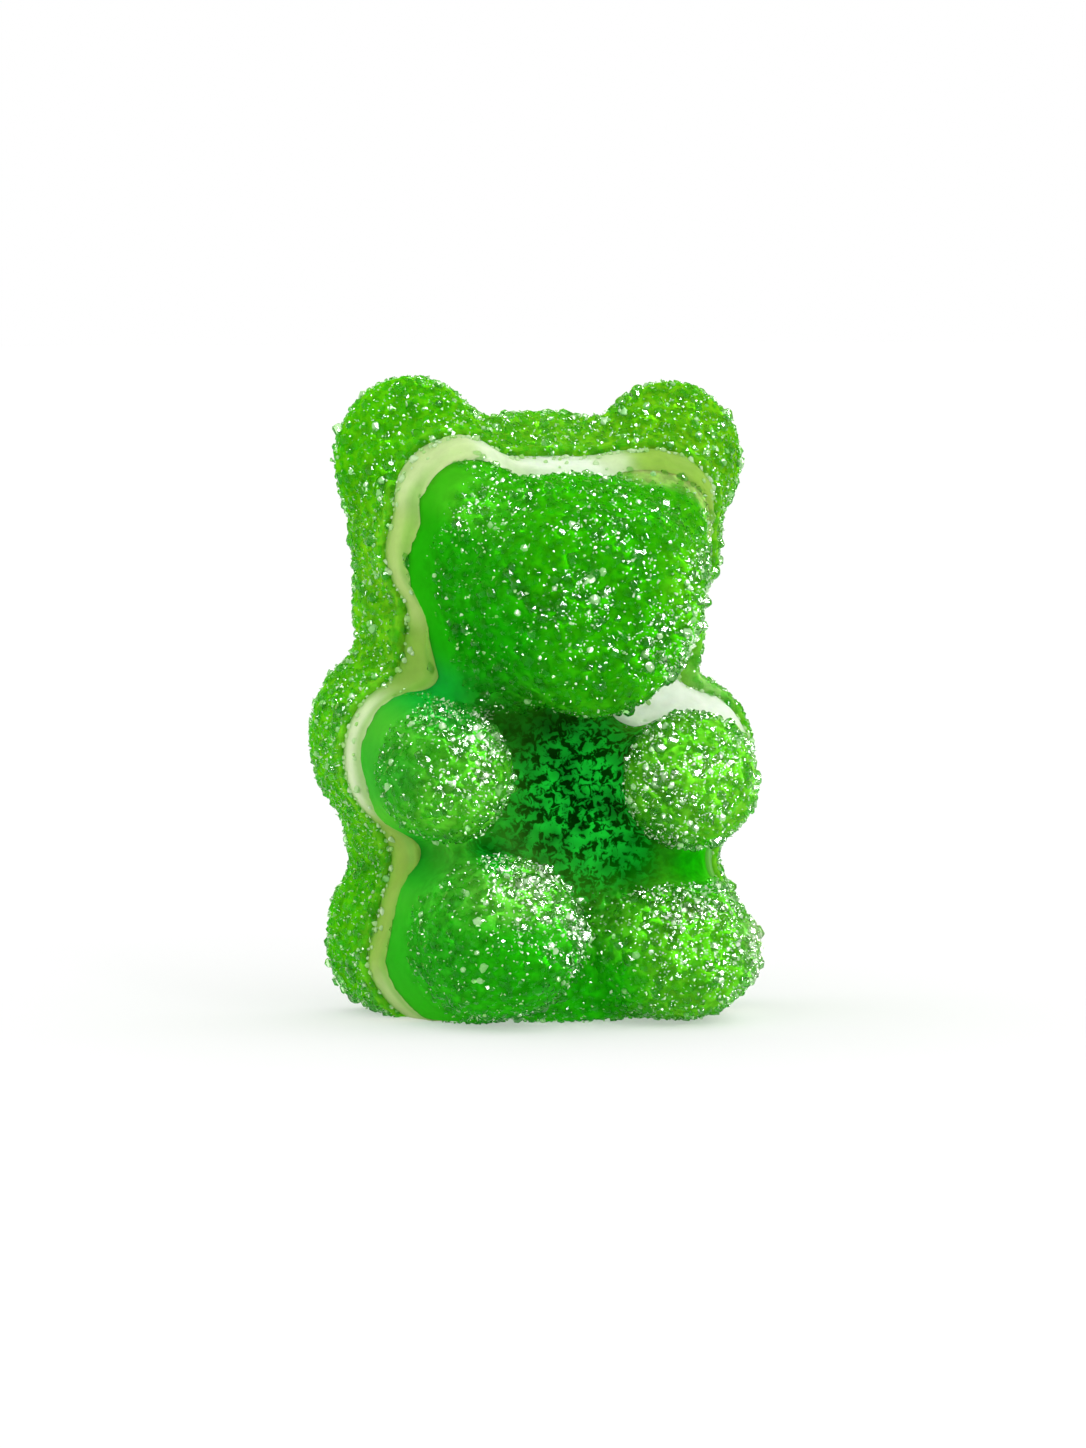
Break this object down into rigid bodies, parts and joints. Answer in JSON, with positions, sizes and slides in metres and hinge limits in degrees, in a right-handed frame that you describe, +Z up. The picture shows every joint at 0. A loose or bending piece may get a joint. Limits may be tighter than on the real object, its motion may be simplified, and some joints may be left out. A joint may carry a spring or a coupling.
{
  "type": "gummy bear",
  "caption": "Sugar-coated gummy bear that stands upright, cast in layers: a green front in relief, a cream middle and a green back.",
  "frame": {"origin": "centre of the bounding box's base, on the surface that the bear stands on", "axes": "+Z up from the feet to the ears, the face looks along -Y, +X to the right in the front view"},
  "size_m": [0.0258, 0.0174, 0.036],
  "materials": {
    "gummy_green": "translucent green jelly",
    "cream_foam": "soft matte cream foam",
    "sugar": "clear sugar grains over the green jelly"
  },
  "bodies": {
    "root": {"gummy_front": "gummy_green", "cream_layer": "cream_foam", "gummy_back": "gummy_green"}
  },
  "joints": []
}
